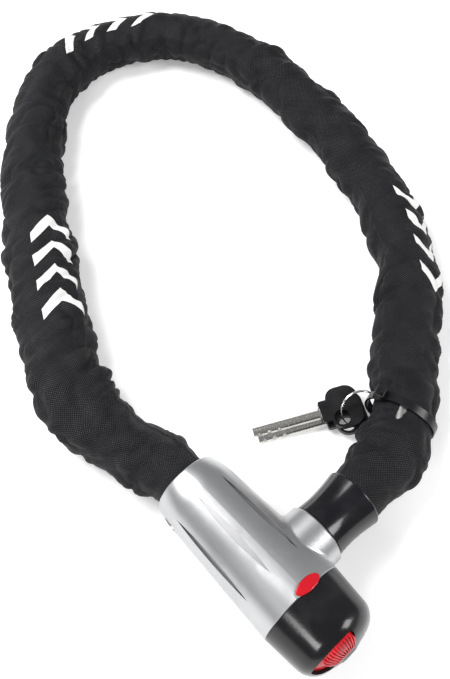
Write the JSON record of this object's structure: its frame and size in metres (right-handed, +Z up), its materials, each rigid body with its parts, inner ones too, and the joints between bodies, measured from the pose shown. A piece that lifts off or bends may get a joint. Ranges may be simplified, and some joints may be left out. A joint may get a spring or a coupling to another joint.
{
  "type": "chain lock",
  "caption": "Chain lock lying closed in a loop: round barrel lock with a side collar, cloth-sleeved link chain, sheathed end fitting, and two keys on a split ring held by a cable tie.",
  "frame": {"origin": "middle of the loop's bounding box, on the surface that the lock lies on", "axes": "+X along the lock barrel, from the chain end to the key end; +Y from the barrel across the loop; +Z up"},
  "size_m": [0.4152, 0.2906, 0.0475],
  "materials": {
    "satin_metal": "satin",
    "black_cap": "satin gloss",
    "black_sheath": "gloss",
    "red_shutter": "gloss",
    "red_lens": "gloss",
    "hard_steel": "plain",
    "brass": "machined",
    "link_steel": "zinc plated",
    "sleeve_cloth": "woven nylon",
    "tie_nylon": "gloss",
    "ring_steel": "polished",
    "key_steel": "nickel plated",
    "key_plastic": "satin gloss"
  },
  "bodies": {
    "lock_body": {"barrel_shell": "satin_metal", "end_cap": "black_cap", "shutter_track": "red_shutter", "indicator_lens": "red_lens", "cylinder_housing": "brass", "pin_bush": "hard_steel", "anchor_pin": "hard_steel", "cap_screws": "hard_steel", "clamp_ring_rear": "hard_steel", "chain_links_0": "link_steel", "sleeve_0": "sleeve_cloth"},
    "shutter": {"dust_shutter": "red_shutter"},
    "plug": {"plug_front": "brass", "code_discs": "brass", "disc_spacers": "brass", "side_bar": "hard_steel", "plug_tail": "brass"},
    "bolt": {"locking_bolt": "hard_steel"},
    "chain_1": {"chain_links_1": "link_steel", "sleeve_1": "sleeve_cloth"},
    "chain_2": {"chain_links_2": "link_steel", "sleeve_2": "sleeve_cloth"},
    "chain_3": {"chain_links_3": "link_steel", "sleeve_3": "sleeve_cloth"},
    "chain_4": {"chain_links_4": "link_steel", "sleeve_4": "sleeve_cloth"},
    "chain_5": {"chain_links_5": "link_steel", "sleeve_5": "sleeve_cloth"},
    "chain_6": {"chain_links_6": "link_steel", "sleeve_6": "sleeve_cloth"},
    "chain_7": {"chain_links_7": "link_steel", "sleeve_7": "sleeve_cloth", "cable_tie": "tie_nylon"},
    "ferrule": {"ferrule_shell": "black_sheath", "ferrule_core": "hard_steel", "locking_pin": "hard_steel", "ferrule_pin": "hard_steel", "clamp_ring_front": "hard_steel", "chain_links_8": "link_steel", "sleeve_8": "sleeve_cloth"},
    "ring": {"split_ring": "ring_steel"},
    "key_1": {"key_bow_1": "key_plastic", "key_blade_1": "key_steel"},
    "key_2": {"key_bow_2": "key_plastic", "key_blade_2": "key_steel"}
  },
  "joints": [
    {"name": "chain_bend_1", "type": "hinge", "parent": "lock_body", "child": "chain_1", "pos_m": [0.02927, -0.12426, 0.016], "axis": [0, 0, -1], "range_deg": [0, 13.9]},
    {"name": "chain_bend_2", "type": "hinge", "parent": "chain_1", "child": "chain_2", "pos_m": [-0.08095, -0.07455, 0.016], "axis": [0, 0, -1], "range_deg": [-5.28, 0]},
    {"name": "chain_bend_3", "type": "hinge", "parent": "chain_2", "child": "chain_3", "pos_m": [-0.16438, -0.01264, 0.016], "axis": [0, 0, -1], "range_deg": [-17.63, 0]},
    {"name": "chain_bend_4", "type": "hinge", "parent": "chain_3", "child": "chain_4", "pos_m": [-0.17615, 0.084, 0.016], "axis": [0, 0, -1], "range_deg": [-5.42, 0]},
    {"name": "chain_bend_5", "type": "hinge", "parent": "chain_4", "child": "chain_5", "pos_m": [-0.08479, 0.12427, 0.016], "axis": [0, 0, -1], "range_deg": [0, 5.06]},
    {"name": "chain_bend_6", "type": "hinge", "parent": "chain_5", "child": "chain_6", "pos_m": [0.01748, 0.10664, 0.016], "axis": [0, 0, -1], "range_deg": [0, 6.58]},
    {"name": "chain_bend_7", "type": "hinge", "parent": "chain_6", "child": "chain_7", "pos_m": [0.10313, 0.04972, 0.016], "axis": [0, 0, -1], "range_deg": [0, 4.25]},
    {"name": "chain_bend_8", "type": "hinge", "parent": "chain_7", "child": "ferrule", "pos_m": [0.15282, -0.0206, 0.0198], "axis": [0, 0, -1], "range_deg": [-1.49, 0]},
    {"name": "shutter_slide", "type": "hinge", "parent": "lock_body", "child": "shutter", "pos_m": [0.20135, -0.11294, 0.0235], "axis": [1, 0, 0], "range_deg": [0, 30]},
    {"name": "plug_turn", "type": "hinge", "parent": "lock_body", "child": "plug", "pos_m": [0.19835, -0.11395, 0.03506], "axis": [-1, 0, 0], "range_deg": [0, 90]},
    {"name": "bolt_slide", "type": "slide", "parent": "lock_body", "child": "bolt", "axis": [0, 0, -1], "range_m": [0, 0.0033]},
    {"name": "ring_swing", "type": "hinge", "parent": "chain_7", "child": "ring", "pos_m": [0.13131, -0.00677, 0.00604], "axis": [-0.2629, 0.7005, 0.6634], "range_deg": [0, 10]},
    {"name": "key_1_swing", "type": "hinge", "parent": "ring", "child": "key_1", "pos_m": [0.12429, -0.02252, 0.0048], "axis": [-0.0258, -0.0495, 0.9984], "range_deg": [-12, 0]},
    {"name": "key_2_swing", "type": "hinge", "parent": "ring", "child": "key_2", "pos_m": [0.12071, -0.02322, 0.0082], "axis": [-0.0258, -0.0495, 0.9984], "range_deg": [-12, 0]}
  ],
  "couplings": [
    {"joint": "chain_bend_2", "follows": "chain_bend_1", "ratio": -0.37824},
    {"joint": "chain_bend_3", "follows": "chain_bend_1", "ratio": -1.2665},
    {"joint": "chain_bend_4", "follows": "chain_bend_1", "ratio": -0.38812},
    {"joint": "chain_bend_5", "follows": "chain_bend_1", "ratio": 0.3623},
    {"joint": "chain_bend_6", "follows": "chain_bend_1", "ratio": 0.47194},
    {"joint": "chain_bend_7", "follows": "chain_bend_1", "ratio": 0.30423},
    {"joint": "chain_bend_8", "follows": "chain_bend_1", "ratio": -0.10567},
    {"joint": "bolt_slide", "follows": "plug_turn", "m_per_rad": 0.0020372}
  ]
}
